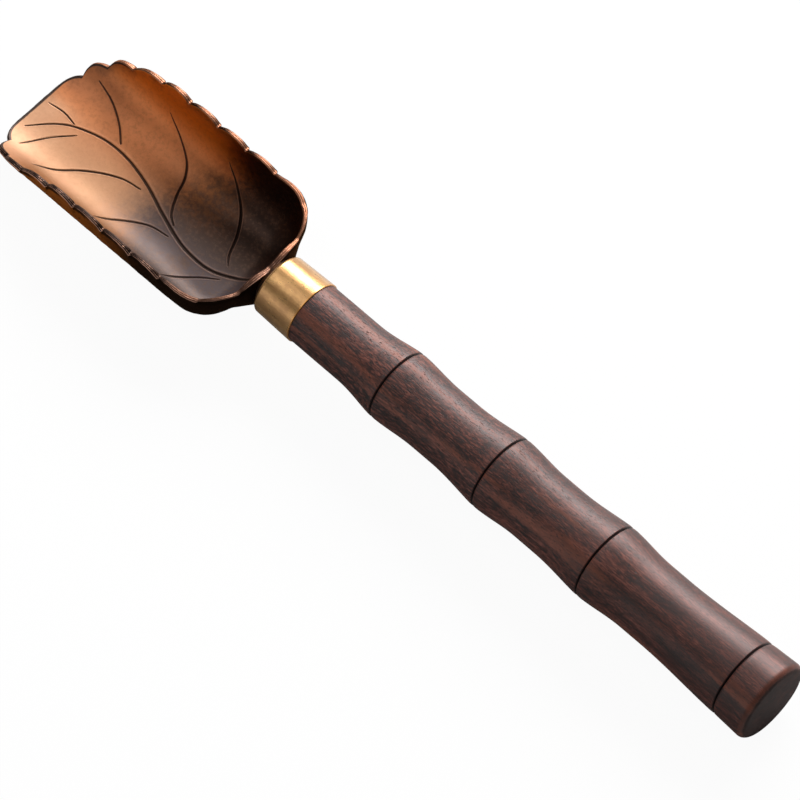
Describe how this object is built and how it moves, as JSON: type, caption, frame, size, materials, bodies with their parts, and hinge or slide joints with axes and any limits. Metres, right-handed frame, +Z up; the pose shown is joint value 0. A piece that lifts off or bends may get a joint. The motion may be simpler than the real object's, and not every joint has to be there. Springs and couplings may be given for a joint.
{
  "type": "tea scoop",
  "caption": "Tea scoop with a cast leaf-shaped bowl with scalloped rim, a brass ferrule and a turned wooden handle with bamboo-like nodes.",
  "frame": {"origin": "on the table under the middle of the length and width, with the flat underside of the bowl at z = 0", "axes": "+X from the handle towards the lip of the bowl, +Z up, out of the bowl's open top"},
  "size_m": [0.18, 0.0306, 0.0162],
  "materials": {
    "bowl": "cast, aged copper brown, with bright worn edges",
    "collar": "dark aged",
    "rod": "turned, bare",
    "ferrule": "brushed, satin",
    "wood": "oiled dark rosewood, satin"
  },
  "bodies": {
    "root": {"scoop_bowl": "bowl", "neck_collar": "collar", "tang_rod": "rod", "ferrule": "ferrule", "handle": "wood"}
  },
  "joints": []
}
